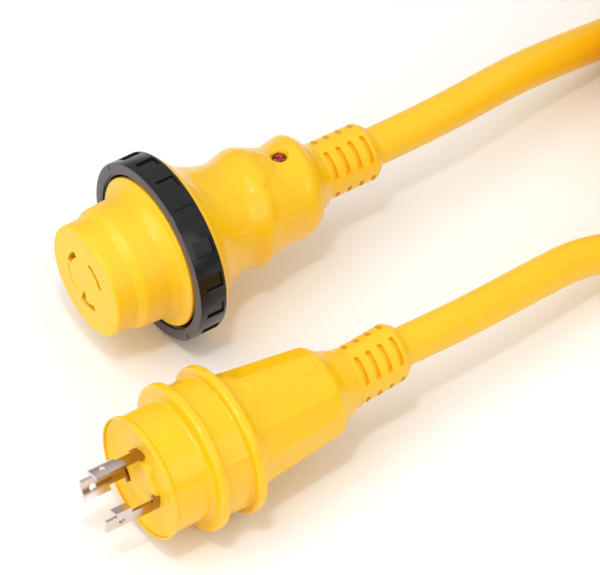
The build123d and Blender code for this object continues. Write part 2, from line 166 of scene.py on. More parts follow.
class Finish:
    """A material built round one Principled shader."""

    def __init__(self, name, **constants):
        self.material = bpy.data.materials.new(name)
        self.material.use_nodes = True
        self.tree = self.material.node_tree
        self.shader = self.tree.nodes["Principled BSDF"]
        for socket, value in constants.items():
            self.shader.inputs[socket.replace("_", " ")].default_value = value

    def node(self, kind, settings=None, inputs=None, output=0):
        """Adds a node: its settings first, then the values or links of its sockets."""
        made = self.tree.nodes.new(kind)
        for key, value in (settings or {}).items():
            setattr(made, key, value)
        for key, value in (inputs or {}).items():
            if isinstance(value, Value):
                self.tree.links.new(value.socket, made.inputs[key])
            else:
                made.inputs[key].default_value = value
        return Value(self, made.outputs[output])

    def feed(self, **sockets):
        """Links values to the shader's sockets."""
        for name, value in sockets.items():
            self.tree.links.new(value.socket, self.shader.inputs[name.replace("_", " ")])
        return self

    def places(self):
        """Positions on the piece, in metres."""
        return self.node("ShaderNodeTexCoord", output="Object")

    def axis(self, letter):
        """One coordinate of the position, in metres."""
        return self.node("ShaderNodeSeparateXYZ", {}, {0: self.places()}, "XYZ".index(letter))

    def noise(self, scale, detail=2.0):
        """Cloudy noise, 0 to 1; scale is in features per metre."""
        inputs = {"Vector": self.places(), "Scale": scale, "Detail": detail}
        return self.node("ShaderNodeTexNoise", {}, inputs, "Fac")

    def blend(self, share, first, second):
        """A colour between two, by a value."""
        return self.node("ShaderNodeMix", {"data_type": "RGBA"}, {0: share, 6: first, 7: second}, 2)

    def bump(self, height, distance):
        """Links a height of 0 to 1 as a bump so many metres deep."""
        inputs = {"Height": height, "Distance": distance}
        return self.feed(Normal=self.node("ShaderNodeBump", {}, inputs))


def yellow_vinyl(name, light, deep, roughness, grain, grain_depth):
    """Yellow vinyl: faint flow clouds, a fine grain and slightly uneven gloss."""
    finish = Finish(name, IOR=1.48)
    clouds = finish.noise(45.0, 3.0)
    specks = finish.noise(2200.0, 1.0)
    finish.feed(
        Base_Color=finish.blend(clouds * 0.75 + specks * 0.25, deep, light),
        Roughness=roughness + clouds * 0.08 + specks * 0.03,
    )
    return finish.bump(finish.noise(grain, 2.0), grain_depth).material


def install(piece, slot, *replaced, body="cord_set"):
    """Puts a piece on the empty of the body it rides on and hides the plain solids it stands for; the
    slot, its finish's name, is not used.
    """
    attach(piece, body)
    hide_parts(*replaced)
    return piece


curve.materials.append(yellow_vinyl(
    "yellow_jacket", (0.97, 0.59, 0.012, 1), (0.92, 0.52, 0.006, 1), 0.30, 700.0, 0.00008
))
install(cable, "yellow_jacket", "connector_cable", "plug_cable", "cable_coil")


# ---- Connector face
# The contact carrier of the socket connector: a stepped round nose that enters the boat or
# caravan inlet, a thin sealing flange, and three curved slots moulded through to the contacts.

FRONT_S = 0.4
NOSE_R = 25.6
SHOULDER_R = 27.7
FLANGE_R = 34.4
FLANGE_S = 32.2
FLANGE_T = 2.2
NECK_R = 30.9
CARRIER_BACK_S = 52.0
POLE_R = 12.5
SLOT_W = 2.7
SLOT_DEPTH = 8.0
CONTACT_T = 0.9
POCKET_END_S = 34.0
POCKET_EXTRA_ARC = 6.0
LEG_SLOT_ARC = 15.0
LEG_REACH = 2.4

# Middle and arc of each slot, in degrees from +Y toward +Z.
SLOT_ARCS = {"hot": (30.0, 43.8), "neutral": (130.0, 54.8), "ground": (260.0, 49.3)}


def front_of(node):
    """The middle of a node's front, which faces -X, in metres."""
    low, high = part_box(node)
    return Vector((low[0], (low[1] + high[1]) / 2, (low[2] + high[2]) / 2))


at_connector = front_of("connector_face")


def rounded(corners, arc_steps=6):
    """An outline with arcs at its corners, given as (s, r, arc radius), or smaller if short of room."""
    outline = []
    for i, (s, r, radius) in enumerate(corners):
        here = Vector((s, r))
        if radius == 0:
            outline.append((s, r))
            continue
        before = Vector(corners[i - 1][:2]) - here
        after = Vector(corners[(i + 1) % len(corners)][:2]) - here
        half = before.angle(after) / 2
        trim = min(radius / math.tan(half), 0.48 * before.length, 0.48 * after.length)
        radius = trim * math.tan(half)
        inward = (before.normalized() + after.normalized()).normalized()
        centre = here + inward * radius / math.sin(half)
        first = here + before.normalized() * trim - centre
        last = here + after.normalized() * trim - centre
        turn = first.angle(last)
        for k in range(arc_steps + 1):
            share = k / arc_steps
            spoke = first * math.sin((1 - share) * turn) + last * math.sin(share * turn)
            outline.append(tuple(centre + spoke / math.sin(turn)))
    return outline


def skin(name, rings, closed):
    """A mesh over rings of points in mm. A ring of one point is a pole."""
    points, faces, starts = [], [], []
    for ring in rings:
        starts.append(len(points))
        points += [Vector(p) * MM for p in ring]
    for a in range(len(rings) if closed else len(rings) - 1):
        b = (a + 1) % len(rings)
        here, there = len(rings[a]), len(rings[b])
        for i in range(max(here, there)):
            corners = [starts[a] + i % here, starts[a] + (i + 1) % here]
            corners += [starts[b] + (i + 1) % there, starts[b] + i % there]
            faces.append(list(dict.fromkeys(corners)))
    mesh = bpy.data.meshes.new(name)
    mesh.from_pydata(points, [], faces)
    shape = bmesh.new()
    shape.from_mesh(mesh)
    bmesh.ops.remove_doubles(shape, verts=shape.verts, dist=1e-6)
    bmesh.ops.recalc_face_normals(shape, faces=shape.faces)
    shape.to_mesh(mesh)
    shape.free()
    return mesh


def capped(mesh):
    """The same mesh with its open ends closed."""
    shape = bmesh.new()
    shape.from_mesh(mesh)
    bmesh.ops.holes_fill(shape, edges=shape.edges)
    bmesh.ops.triangulate(shape, faces=[f for f in shape.faces if len(f.verts) > 4])
    bmesh.ops.recalc_face_normals(shape, faces=shape.faces)
    shape.to_mesh(mesh)
    shape.free()
    return mesh


def around_x(s, r, angle):
    """The point at a place along X, a distance from it and an angle about it."""
    return s, r * math.cos(angle), r * math.sin(angle)


def lathe(name, outline, steps=192, swell=None):
    """Turns an outline of (s, r) about X. swell(s, r, angle) may move a point's s and r."""
    rings = []
    for s, r in outline:
        ring = []
        for i in range(1 if r == 0 else steps):
            angle = math.tau * i / steps
            own_s, own_r = swell(s, r, angle) if swell else (s, r)
            ring.append(around_x(own_s, own_r, angle))
        rings.append(ring)
    return skin(name, rings, closed=outline[0][1] != 0)


def curved_bar(s0, s1, radius, thickness, arc, middle, steps=16):
    """A bar along X whose section hugs a circle about X, as a cutter; angles in degrees."""
    rings = []
    for i in range(steps + 1):
        angle = math.radians(middle + arc * (i / steps - 0.5))
        inner, outer = radius - thickness / 2, radius + thickness / 2
        corners = [(s0, inner), (s1, inner), (s1, outer), (s0, outer)]
        rings.append([around_x(s, r, angle) for s, r in corners])
    return capped(skin("bar", rings, closed=False))


def cutting_tree():
    """Geometry Nodes: copies of a cutter, in rows and round the X axis, taken out of a mesh."""
    tree = bpy.data.node_groups.new("cut_all_round", "GeometryNodeTree")
    sockets = [("Mesh", "Geometry"), ("Cutter", "Object"), ("Around", "Int"), ("Rows", "Int")]
    sockets += [("Row Pitch", "Float"), ("Start Angle", "Float"), ("Finish", "Material")]
    for name, kind in sockets:
        tree.interface.new_socket(name, in_out="INPUT", socket_type="NodeSocket" + kind)
    tree.interface.new_socket("Mesh", in_out="OUTPUT", socket_type="NodeSocketGeometry")
    taken = tree.nodes.new("NodeGroupInput").outputs
    given = tree.nodes.new("NodeGroupOutput").inputs

    def add(kind, links, **settings):
        node = tree.nodes.new(kind)
        for key, value in settings.items():
            setattr(node, key, value)
        for key, value in links.items():
            if isinstance(value, bpy.types.NodeSocket):
                tree.links.new(value, node.inputs[key])
            else:
                node.inputs[key].default_value = value
        return node.outputs

    def maths(operation, a, b):
        return add("ShaderNodeMath", {0: a, 1: b}, operation=operation)[0]

    count = maths("MULTIPLY", taken["Around"], taken["Rows"])
    points = add("GeometryNodeMeshLine", {"Count": count, "Offset": (0, 0, 0)})["Mesh"]
    index = add("GeometryNodeInputIndex", {})[0]
    row = maths("FLOOR", maths("DIVIDE", index, taken["Around"]), 0.0)
    turn = maths("DIVIDE", maths("MULTIPLY", index, math.tau), taken["Around"])
    angle = maths("ADD", turn, taken["Start Angle"])
    along = maths("MULTIPLY", row, taken["Row Pitch"])
    offset = add("ShaderNodeCombineXYZ", {0: along})[0]
    rows = add("GeometryNodeSetPosition", {"Geometry": points, "Offset": offset})[0]
    cutter = add("GeometryNodeObjectInfo", {"Object": taken["Cutter"]})["Geometry"]
    facing = add("ShaderNodeCombineXYZ", {0: angle})[0]
    placing = {"Points": rows, "Instance": cutter, "Rotation": facing}
    copies = add("GeometryNodeInstanceOnPoints", placing)[0]
    solid = add("GeometryNodeRealizeInstances", {"Geometry": copies})[0]
    pair = {"Mesh 1": taken["Mesh"], "Mesh 2": solid}
    carved = add("GeometryNodeMeshBoolean", pair, operation="DIFFERENCE", solver="EXACT")["Mesh"]
    whole = add("GeometryNodeRealizeInstances", {"Geometry": carved})[0]
    coated = add("GeometryNodeSetMaterial", {"Geometry": whole, "Material": taken["Finish"]})[0]
    tree.links.new(coated, given["Mesh"])
    return tree


CUT_ALL_ROUND = cutting_tree()


def cut(mesh, cutter_mesh, finish, around=1, rows=1, row_pitch=0.0, start_angle=0.0):
    """Takes copies of a cutter out of a mesh; the start angle is in degrees."""
    body = bpy.data.objects.new(mesh.name, mesh)
    cutter = bpy.data.objects.new("cutter", cutter_mesh)
    bpy.context.collection.objects.link(body)
    bpy.context.collection.objects.link(cutter)
    sizes = {"Cutter": cutter, "Around": around, "Rows": rows, "Row Pitch": row_pitch * MM}
    sizes |= {"Start Angle": math.radians(start_angle), "Finish": finish}
    modifier = body.modifiers.new("cuts", "NODES")
    modifier.node_group = CUT_ALL_ROUND
    for socket in CUT_ALL_ROUND.interface.items_tree:
        if socket.in_out == "INPUT" and socket.name in sizes:
            modifier[socket.identifier] = sizes[socket.name]
    evaluated = body.evaluated_get(bpy.context.evaluated_depsgraph_get())
    made = bpy.data.meshes.new_from_object(evaluated)
    bpy.data.objects.remove(body)
    bpy.data.objects.remove(cutter)
    return made


def piece_of(name, mesh, finish, at, edge=0.0, sharp=38.0):
    """An object from a mesh made about its own axis, put in its place, with softened edges."""
    mesh.transform(Matrix.Translation(at))
    mesh.name = name
    mesh.materials.clear()
    mesh.materials.append(finish)
    mesh.shade_smooth()
    mesh.set_sharp_from_angle(angle=math.radians(sharp))
    piece = bpy.data.objects.new(name, mesh)
    bpy.context.collection.objects.link(piece)
    if edge:
        bevel = piece.modifiers.new("edges", "BEVEL")
        bevel.width = edge * MM
        bevel.segments = 2
        bevel.limit_method = "ANGLE"
        bevel.angle_limit = math.radians(sharp)
    return piece


carrier_yellow = yellow_vinyl(
    "yellow_carrier", (0.98, 0.60, 0.016, 1), (0.94, 0.54, 0.008, 1), 0.36, 1500.0, 0.00003
)
carrier_outline = rounded([
    (FRONT_S, 0, 0),
    (FRONT_S, NOSE_R, 1.5),
    (10.6, NOSE_R, 2.0),
    (14.3, SHOULDER_R, 2.5),
    (FLANGE_S - 6, SHOULDER_R + 0.5, 8.0),
    (FLANGE_S - 1.2, SHOULDER_R + 3.0, 4.0),
    (FLANGE_S, FLANGE_R, 0.9),
    (FLANGE_S + FLANGE_T, FLANGE_R, 0.9),
    (FLANGE_S + FLANGE_T, NECK_R, 0.2),
    (CARRIER_BACK_S, NECK_R, 0.4),
    (CARRIER_BACK_S, 0, 0),
])
carrier = lathe("connector_face_moulding", carrier_outline)
pocket_w = SLOT_W + 2 * CONTACT_T + 0.1
for middle, arc in SLOT_ARCS.values():
    slot = curved_bar(-1, SLOT_DEPTH, POLE_R, SLOT_W, arc, middle)
    carrier = cut(carrier, slot, carrier_yellow)
    pocket_arc = arc + POCKET_EXTRA_ARC
    pocket = curved_bar(SLOT_DEPTH - 0.2, POCKET_END_S, POLE_R, pocket_w, pocket_arc, middle)
    carrier = cut(carrier, pocket, carrier_yellow)
leg_middle = SLOT_ARCS["ground"][0] + (SLOT_ARCS["ground"][1] - LEG_SLOT_ARC) / 2
leg_w = SLOT_W + LEG_REACH
leg_slot = curved_bar(-1, SLOT_DEPTH, POLE_R - SLOT_W, leg_w, LEG_SLOT_ARC, leg_middle)
carrier = cut(carrier, leg_slot, carrier_yellow)
turning_groove = curved_bar(-1, FRONT_S + 0.35, POLE_R + 0.6, 0.9, 52.0, 335.0)
carrier = cut(carrier, turning_groove, carrier_yellow)
nose = piece_of("connector_nose", carrier, carrier_yellow, at_connector)
install(nose, "yellow_carrier", "connector_face")


# ---- Connector body
# The overmoulded grip of the socket connector: a bell behind the locking ring, then a hand
# grip with two slanting finger waves, and a steep shoulder down to the strain relief.

BELL_S = 46.0
BELL_END_S = 47.8
BELL_R = 38.6
CONNECTOR_LEN = 118.0
ROOT_R = 13.3
BODY_ROOM_R = 17.0
BODY_ROOM_END_S = 92.0
CABLE_SEAT_R = 8.7
WAVE_TOP = math.radians(38.5)
RIDGE_AT = math.radians(122.0)
RIDGE_H = 0.4
PAD_S = 76.0
PAD_AT = math.radians(90.0)
PAD_HALF_LENGTH = 19.0
PAD_HALF_ARC = math.radians(33.0)
PAD_H = 0.6
BELLY_S = 92.0
BELLY_AT = math.radians(155.0)
BELLY_HALF_LENGTH = 11.0
BELLY_HALF_ARC = math.radians(58.0)
BELLY_H = 1.1
LENS_S = 99.0
LENS_HOLE_R = 3.15
LENS_RECESS_R = 3.8
BODY_STEPS = 240
SPAN_STEPS = 9

# The grip's outline on the side where the waves lie furthest back, and on the opposite side:
# a pair of (s, r) for each station, with s counted from the connector's front.
GRIP_STATIONS = [
    ((BELL_END_S, BELL_R), (BELL_END_S, BELL_R)),
    ((50.6, 34.8), (50.6, 34.8)),
    ((54.6, 31.0), (54.4, 31.0)),
    ((60.2, 27.7), (59.4, 27.6)),
    ((66.8, 25.2), (65.4, 25.3)),
    ((74.5, 24.1), (71.5, 24.8)),
    ((84.4, 26.0), (77.6, 26.6)),
    ((91.0, 23.7), (83.0, 24.6)),
    ((97.8, 20.9), (92.0, 23.1)),
    ((104.0, 21.2), (98.0, 23.0)),
    ((108.8, 21.7), (103.0, 23.0)),
    ((112.4, 19.0), (108.0, 20.8)),
    ((114.8, 15.4), (112.4, 16.8)),
    ((CONNECTOR_LEN, ROOT_R), (CONNECTOR_LEN, ROOT_R)),
]


def ramp(value, start, end):
    """0 before the start, 1 after the end, smooth between."""
    t = min(max((value - start) / (end - start), 0.0), 1.0)
    return t * t * (3 - 2 * t)


def grip_point(place, angle):
    """(s, r) on the grip, at a place counted in stations, by a curve through the stations."""
    span = min(int(place), len(GRIP_STATIONS) - 2)
    t = place - span
    picked = [GRIP_STATIONS[min(max(span + k, 0), len(GRIP_STATIONS) - 1)] for k in (-1, 0, 1, 2)]
    share = (1 + math.cos(angle - WAVE_TOP)) / 2
    p = [Vector(a) * share + Vector(b) * (1 - share) for a, b in picked]
    mixed = 2 * p[1] + (p[2] - p[0]) * t + (2 * p[0] - 5 * p[1] + 4 * p[2] - p[3]) * t**2
    mixed += (3 * p[1] - p[0] - 3 * p[2] + p[3]) * t**3
    s, r = mixed / 2
    # The lobes come in behind the bell and fade out on the shoulder.
    grip_share = ramp(s, 60, 72) * (1 - ramp(s, 104, 115))
    lobes = RIDGE_H * grip_share * math.cos(3 * (angle - RIDGE_AT))
    edge = math.hypot((s - PAD_S) / PAD_HALF_LENGTH, (angle - PAD_AT) / PAD_HALF_ARC)
    belly = ramp(1 - abs(s - BELLY_S) / BELLY_HALF_LENGTH, 0, 1)
    belly *= ramp(1 - abs(angle - BELLY_AT) / BELLY_HALF_ARC, 0, 1)
    return s, r + lobes + BELLY_H * belly + PAD_H * ramp(1 - edge, -0.05, 0.10)


grip_yellow = yellow_vinyl(
    "yellow_overmould", (0.98, 0.585, 0.011, 1), (0.93, 0.52, 0.005, 1), 0.13, 420.0, 0.00005
)
angles = [math.tau * i / BODY_STEPS for i in range(BODY_STEPS)]
rim_corners = [(BELL_S, NECK_R + 0.1, 0.2), (BELL_S, BELL_R, 0.8), (BELL_END_S, BELL_R, 0)]
front_rim = rounded(rim_corners)[:-1]
inside_wall = [
    (CONNECTOR_LEN, CABLE_SEAT_R),
    (BODY_ROOM_END_S, CABLE_SEAT_R),
    (BODY_ROOM_END_S, BODY_ROOM_R),
    (CARRIER_BACK_S + 0.1, BODY_ROOM_R),
    (CARRIER_BACK_S + 0.1, NECK_R + 0.1),
]
rings = [[around_x(s, r, a) for a in angles] for s, r in front_rim]
for i in range(1, (len(GRIP_STATIONS) - 1) * SPAN_STEPS + 1):
    rings.append([around_x(*grip_point(i / SPAN_STEPS, a), a) for a in angles])
rings += [[around_x(s, r, a) for a in angles] for s, r in inside_wall]
grip = skin("grip", rings, closed=True)
recess_outline = [
    (11.0, 0),
    (11.0, LENS_HOLE_R),
    (19.9, LENS_HOLE_R),
    (20.5, LENS_RECESS_R),
    (23.5, 4.8),
    (30.0, 4.8),
    (30.0, 0),
]
lens_place = Matrix.Translation((LENS_S * MM, 0, 0)) @ Matrix.Rotation(-math.pi / 2, 4, "Y")
recess = lathe("recess", recess_outline, 40)
recess.transform(lens_place)
grip = cut(grip, recess, grip_yellow)


def lean_with_cable(mesh, start, reach, lean):
    """Bends a tail off its axis: nothing at the start, the whole lean (y, z) at the reach."""
    for point in mesh.vertices:
        share = max(0.0, (point.co.x / MM - start) / reach) ** 2
        point.co += Vector((0, lean[0], lean[1])) * share * MM


CONNECTOR_LEAN = (0.0, -0.6)
CONNECTOR_LEAN_S = 110.0
CONNECTOR_LEAN_REACH = 35.0
lean_with_cable(grip, CONNECTOR_LEAN_S, CONNECTOR_LEAN_REACH, CONNECTOR_LEAN)
grip_piece = piece_of("connector_grip", grip, grip_yellow, at_connector, edge=0.3, sharp=50)
install(grip_piece, "yellow_overmould", "connector_body")


# ---- Power lamp
# A clear dark red lens, cut with facets on its face, pressed into the grip over a small lamp
# and its resistor, which take their current from the cores through thin tinned leads.

LENS_R = 3.05
LENS_TOP = 20.9
LENS_FACETS = 12
lens_red = Finish("red_lens", IOR=1.5)
# Bright red spots in the dark red base colour are painted glints of the facets; the same noise also
# varies the gloss.
painted_glint_noise = lens_red.noise(700.0, 0.0)
lens_red.feed(
    Base_Color=lens_red.blend((painted_glint_noise - 0.42) * 5.0, (0.030, 0.0, 0.002, 1), (0.62, 0.02, 0.008, 1)),
    Roughness=0.04 + painted_glint_noise * 0.08,
)
lens_outline = [
    (13.6, 0),
    (13.6, LENS_R),
    (LENS_TOP - 0.9, LENS_R),
    (LENS_TOP - 0.2, 2.1),
    (LENS_TOP - 1.3, 0.7),
    (LENS_TOP - 0.5, 0),
]
lens = lathe("lens", lens_outline, LENS_FACETS)
lens.transform(lens_place)
lens_piece = piece_of("lamp_lens", lens, lens_red.material, at_connector, edge=0.08, sharp=12)
install(lens_piece, "red_lens", "indicator_lens")


# ---- Locking ring
# A polished black plastic ring that turns on the connector's neck and screws onto the inlet:
# an inside thread, sixteen shallow grip recesses outside, and a flat front with two index marks.

RING_R = 41.3
RING_S = 32.3
RING_END_S = 45.7
RING_BORE_R = 36.2
LIP_S = 42.2
LIP_BORE_R = 30.98
THREAD_PITCH = 2.1
THREAD_H = 1.0
GRIP_RECESSES = 16
RECESS_W = 8.4
RECESS_L = 7.4
RECESS_DEPTH = 0.9
RECESS_AT_S = RING_S + 7.6
MARK_W = 1.2
MARK_L = 1.4
BORE_RINGS = 40
PAD_STEP = 1.2

black = Finish("black_ring", IOR=1.5, Specular_IOR_Level=0.4)
haze = black.noise(60.0, 3.0)
scuffs = black.noise(2600.0)
# The front face is made rougher, and its grey-violet colour is a painted reflection on the black
# plastic.
matt_front_with_painted_sheen = 1 - (black.axis("X") > at_connector.x + (RING_S + 0.25) * MM)
polished = black.blend(haze, (0.003, 0.003, 0.004, 1), (0.009, 0.008, 0.011, 1))
black.feed(
    Base_Color=black.blend(matt_front_with_painted_sheen, polished, (0.085, 0.078, 0.100, 1)),
    Roughness=0.10 + haze * 0.12 + scuffs * 0.05 + matt_front_with_painted_sheen * 0.25,
)
black.bump(scuffs, 0.000015)


def thread_depth(s, r, angle):
    """Draws the bore in by the thread's ridge, where the thread runs."""
    if r != RING_BORE_R or not RING_S + 0.8 < s < LIP_S - 0.3:
        return s, r
    phase = (s / THREAD_PITCH - angle / math.tau) % 1
    return s, r - THREAD_H * max(0.0, 1 - abs(2 * phase - 1) * 1.25)


ring_outline = rounded([
    (RING_S, RING_BORE_R, 0.3),
    (RING_S, RING_R, 0.5),
    (RING_END_S, RING_R, 0.8),
    (RING_END_S, LIP_BORE_R, 0.3),
    (LIP_S, LIP_BORE_R, 0.3),
    (LIP_S, RING_BORE_R, 0),
], 3)
thread_length = LIP_S - RING_S - 0.4
for i in range(1, BORE_RINGS):
    ring_outline.append((LIP_S - thread_length * i / BORE_RINGS, RING_BORE_R))
ring = lathe("ring", ring_outline, 192, thread_depth)


def pad(width, length, corner, inner, outer, at_s):
    """A rounded rectangle wrapped round the X axis, between two radii, as a cutter."""
    half = Vector((width / 2, length / 2))
    corners = [(-half.x, -half.y), (half.x, -half.y), (half.x, half.y), (-half.x, half.y)]
    flat = rounded([(*place, corner) for place in corners], 4)
    edges = []
    for a, b in zip(flat, flat[1:] + flat[:1]):
        parts = max(1, math.ceil(abs(b[1] - a[1]) / PAD_STEP))
        edges += [Vector(a).lerp(Vector(b), i / parts) for i in range(parts)]
    wrapped = [[around_x(at_s + p.x, r, p.y / outer) for p in edges] for r in (inner, outer)]
    return capped(skin("pad", wrapped, closed=False))


recess = pad(RECESS_W, RECESS_L, 0.35, RING_R - RECESS_DEPTH, RING_R + 2, RECESS_AT_S)
ring = cut(ring, recess, black.material, around=GRIP_RECESSES, start_angle=6.0)
mark = pad(MARK_W, MARK_L, 0.3, RING_BORE_R + 2.6, RING_BORE_R + 4.2, RING_S)
ring = cut(ring, mark, black.material, around=2, start_angle=40.0)
ring_piece = piece_of("threaded_ring", ring, black.material, at_connector, edge=0.16, sharp=42)
install(ring_piece, "black_ring", "locking_ring", body="locking_ring")


# ---- Strain reliefs
# A soft sleeve moulded over the cable at the back of each end, with four rows of slots between
# solid ribs, so that the cable bends in a gentle curve instead of at the body's edge.

RELIEF_R = 13.1
RELIEF_LEN = 27.3
RELIEF_TIP_R = 10.4
RELIEF_PITCH = 6.1
RELIEF_SLOT_W = 2.3
RELIEF_SLOT_L = 16.0
RELIEF_SLOT_DEPTH = 2.3
FIRST_SLOT_S = 2.9
relief_yellow = yellow_vinyl(
    "yellow_relief", (0.98, 0.60, 0.012, 1), (0.93, 0.52, 0.006, 1), 0.30, 800.0, 0.00006
)


def make_relief(name, at, node, lean_start, reach, lean):
    """One sleeve. It leans off the axis with the cable."""
    outline = rounded([
        (-0.6, CABLE_D / 2, 0),
        (-0.6, RELIEF_R + 0.5, 0.4),
        (1.0, RELIEF_R, 1.0),
        (RELIEF_LEN - 3.4, RELIEF_R, 1.8),
        (RELIEF_LEN, RELIEF_TIP_R, 1.0),
        (RELIEF_LEN, CABLE_D / 2, 0),
    ])
    sleeve = lathe(name, outline, 96)
    floor_r = RELIEF_R - RELIEF_SLOT_DEPTH
    slot = pad(RELIEF_SLOT_W, RELIEF_SLOT_L, 1.0, floor_r, RELIEF_R + 2, FIRST_SLOT_S)
    sleeve = cut(
        sleeve, slot, relief_yellow, around=4, rows=4, row_pitch=RELIEF_PITCH, start_angle=130.0
    )
    lean_with_cable(sleeve, lean_start, reach, lean)
    sleeve_piece = piece_of(name, sleeve, relief_yellow, at, edge=0.28, sharp=42)
    return install(sleeve_piece, "yellow_relief", node)


connector_root = at_connector + Vector((CONNECTOR_LEN * MM, 0, 0))
connector_relief = make_relief(
    "connector_sleeve", connector_root, "connector_strain_relief",
    CONNECTOR_LEAN_S - CONNECTOR_LEN, CONNECTOR_LEAN_REACH, CONNECTOR_LEAN,
)


# ---- Plug body
# The overmoulded plug: a barrel with a beaded rim, two thick flanges with a ribbed groove
# between them, and a tapered grip moulded in long flats with a raised plain panel on top.

RIM_R = 28.1
FACE_WALL_R = 25.7
FACE_LIP_R = 27.15
FACE_LIP_END_S = 3.3
FACE_END_S = 20.1
PLUG_ROOM_R = 15.0
PLUG_ROOM_END_S = 78.0
BARREL_R = 27.0
FLANGE_TOP_R = 33.8
GROOVE_R = 29.8
PLUG_LEN = 104.8
GRIP_START_S = 51.0
GRIP_END_S = 90.0
GRIP_LEAST_R = 13.0
GRIP_FLATS = 12
FLAT_SCALE = 1.012
PANEL_ANGLE = math.radians(93.0)
PANEL_W = 9.0
PANEL_H = 0.6
GROOVE_RIBS = 6
RIB_W = 2.6
RIB_H = 0.6

at_plug = front_of("plug_body")


def plug_flats(s, r, angle):
    """Flats and the raised panel on the grip, and low ribs across the groove."""
    if r < GRIP_LEAST_R:
        return s, r
    turn = math.tau / GRIP_FLATS
    off_middle = (angle - PANEL_ANGLE + turn / 2) % turn - turn / 2
    flat = math.cos(turn / 2) / math.cos(off_middle)
    on_grip = ramp(s, GRIP_START_S - 2, GRIP_START_S + 2)
    on_grip *= 1 - ramp(s, GRIP_END_S - 3, GRIP_END_S + 2)
    grown = r * (1 + on_grip * (flat * FLAT_SCALE - 1))
    away = abs((angle - PANEL_ANGLE + math.pi) % math.tau - math.pi) * r
    panel = ramp(PANEL_W / 2 - away, -0.3, 0.3) * ramp(s, 53.6, 54.4) * (1 - ramp(s, 87.0, 87.8))
    rib_turn = math.tau / GROOVE_RIBS
    rib_off = abs((angle - math.pi / 2 + rib_turn / 2) % rib_turn - rib_turn / 2) * r
    rib = ramp(RIB_W / 2 - rib_off, -0.3, 0.5) * ramp(s, 25.1, 25.6) * (1 - ramp(s, 38.2, 38.7))
    return s, grown + PANEL_H * panel + RIB_H * rib


def refined(outline, step):
    """The same outline with points no further apart than a step."""
    fine = []
    for a, b in zip(outline, outline[1:] + outline[:1]):
        parts = max(1, math.ceil((Vector(b) - Vector(a)).length / step))
        fine += [tuple(Vector(a).lerp(Vector(b), i / parts)) for i in range(parts)]
    return fine


plug_outline = rounded([
    (0, FACE_LIP_R, 0.4),
    (0, RIM_R, 0.5),
    (2.2, RIM_R, 0.8),
    (3.2, BARREL_R, 0.9),
    (20.0, BARREL_R, 1.6),
    (20.6, FLANGE_TOP_R, 1.5),
    (25.0, FLANGE_TOP_R, 1.5),
    (25.2, GROOVE_R, 0.9),
    (38.6, GROOVE_R, 0.9),
    (38.8, FLANGE_TOP_R, 1.5),
    (43.2, FLANGE_TOP_R, 1.5),
    (43.8, 29.2, 2.0),
    (47.5, 26.4, 5.0),
    (54.4, 25.1, 6.0),
    (90.4, 20.7, 3.0),
    (96.0, 16.4, 5.0),
    (PLUG_LEN, 13.1, 0.05),
    (PLUG_LEN, CABLE_SEAT_R, 0.2),
    (PLUG_ROOM_END_S, CABLE_SEAT_R, 0.2),
    (PLUG_ROOM_END_S, PLUG_ROOM_R, 0.5),
    (FACE_END_S, PLUG_ROOM_R, 0.5),
    (FACE_END_S, FACE_WALL_R, 0.5),
    (FACE_LIP_END_S, FACE_WALL_R, 0.1),
    (FACE_LIP_END_S, FACE_LIP_R, 0.1),
], 5)
plug_shape = lathe("plug_grip", refined(plug_outline, 0.9), 256, plug_flats)
PLUG_LEAN = (2.0, 1.3)
PLUG_LEAN_S = 88.0
PLUG_LEAN_REACH = 44.0
lean_with_cable(plug_shape, PLUG_LEAN_S, PLUG_LEAN_REACH, PLUG_LEAN)
plug_piece = piece_of("plug_grip", plug_shape, grip_yellow, at_plug, sharp=48)
install(plug_piece, "yellow_overmould", "plug_body")
plug_root = at_plug + Vector((PLUG_LEN * MM, 0, 0))
plug_relief = make_relief(
    "plug_sleeve", plug_root, "plug_strain_relief",
    PLUG_LEAN_S - PLUG_LEN, PLUG_LEAN_REACH, PLUG_LEAN,
)


# ---- Plug face
# The blade carrier, set back inside the rim, with a raised centre that the three blades stand
# round. It is moulded in one piece with the seats that hold the blades.

FACE_S = 3.0
PLATFORM_S = 0.8
PLATFORM_R = 11.0
LOBES = 6
LOBE_DEPTH = 0.07


def lobed(s, r, angle):
    """Six low lobes round the raised centre."""
    near_edge = abs(r - PLATFORM_R) < 2
    return s, r * (1 + LOBE_DEPTH * math.cos(LOBES * angle)) if near_edge else r


plug_carrier_outline = rounded([
    (PLATFORM_S + 0.4, 0, 0),
    (PLATFORM_S + 0.4, PLATFORM_R - 4.2, 0.3),
    (PLATFORM_S, PLATFORM_R - 3.6, 0.3),
    (PLATFORM_S, PLATFORM_R - 0.1, 0.3),
    (FACE_S, PLATFORM_R + 0.2, 0.4),
    (FACE_S, 23.0, 5.0),
    (1.0, 27.1, 0.2),
    (3.2, 27.1, 0.1),
    (3.2, FACE_WALL_R - 0.05, 0.1),
    (20.0, FACE_WALL_R - 0.05, 0.4),
    (20.0, 0, 0),
])
plug_carrier = lathe("plug_carrier", plug_carrier_outline, 192, lobed)
plug_carrier_piece = piece_of("plug_carrier", plug_carrier, carrier_yellow, at_plug)
install(plug_carrier_piece, "yellow_carrier", "plug_face")


# ---- Blades
# Three curved blades stamped from brass strip and nickel plated, each with a tip hole and a
# locking step. The ground blade is longer and has one edge folded in.

BLADE_TURNS = {"hot": 0.0, "neutral": 0.0, "ground": -22.0}


